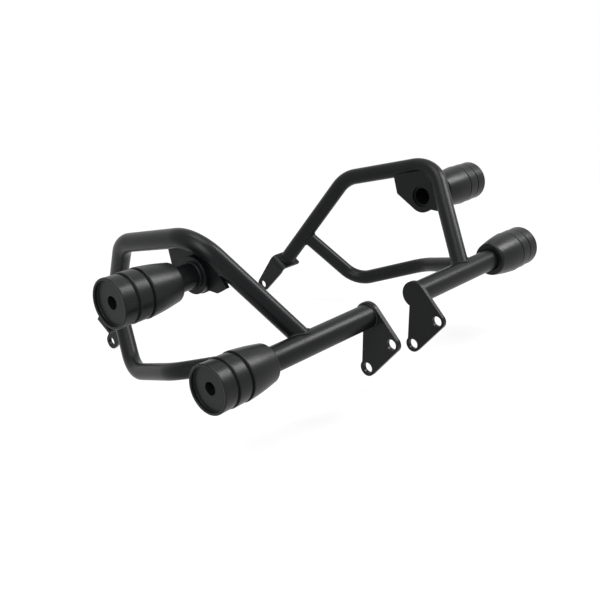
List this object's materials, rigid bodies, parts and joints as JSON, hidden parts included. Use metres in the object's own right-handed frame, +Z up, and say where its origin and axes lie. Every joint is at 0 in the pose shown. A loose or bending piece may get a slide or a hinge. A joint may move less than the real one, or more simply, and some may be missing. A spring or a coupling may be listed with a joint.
{
  "type": "motorcycle crash bars",
  "caption": "Motorcycle crash bars: a left and a right welded tube guard with bolt-on mounting plates and screwed plastic bumpers on the cross tubes.",
  "frame": {"origin": "on the axis of the front upper frame bolt, midway between the left and the right bar", "axes": "+X to the rider's left along the bolt axes, -Y towards the front wheel, +Z up"},
  "size_m": [0.648, 0.407, 0.2325],
  "materials": {
    "coated_steel": "satin black powder coat",
    "bumper_plastic": "turned black polyamide",
    "screw_steel": "black oxide"
  },
  "bodies": {
    "root": {"left_mounting_plate": "coated_steel", "left_lower_tube": "coated_steel", "left_lower_tube_plug": "coated_steel", "left_main_loop": "coated_steel", "left_lower_loop": "coated_steel", "left_rear_bracket": "coated_steel", "left_gusset_plate": "coated_steel", "left_gusset_hub": "coated_steel", "left_upper_tube": "coated_steel", "left_upper_tube_plug": "coated_steel", "left_lower_bumper": "bumper_plastic", "left_upper_bumper": "bumper_plastic", "left_lower_bumper_screw": "screw_steel", "left_upper_bumper_screw": "screw_steel", "right_mounting_plate": "coated_steel", "right_lower_tube": "coated_steel", "right_lower_tube_plug": "coated_steel", "right_main_loop": "coated_steel", "right_lower_loop": "coated_steel", "right_rear_bracket": "coated_steel", "right_gusset_plate": "coated_steel", "right_gusset_hub": "coated_steel", "right_upper_tube": "coated_steel", "right_upper_tube_plug": "coated_steel", "right_lower_bumper": "bumper_plastic", "right_upper_bumper": "bumper_plastic", "right_lower_bumper_screw": "screw_steel", "right_upper_bumper_screw": "screw_steel"}
  },
  "joints": []
}
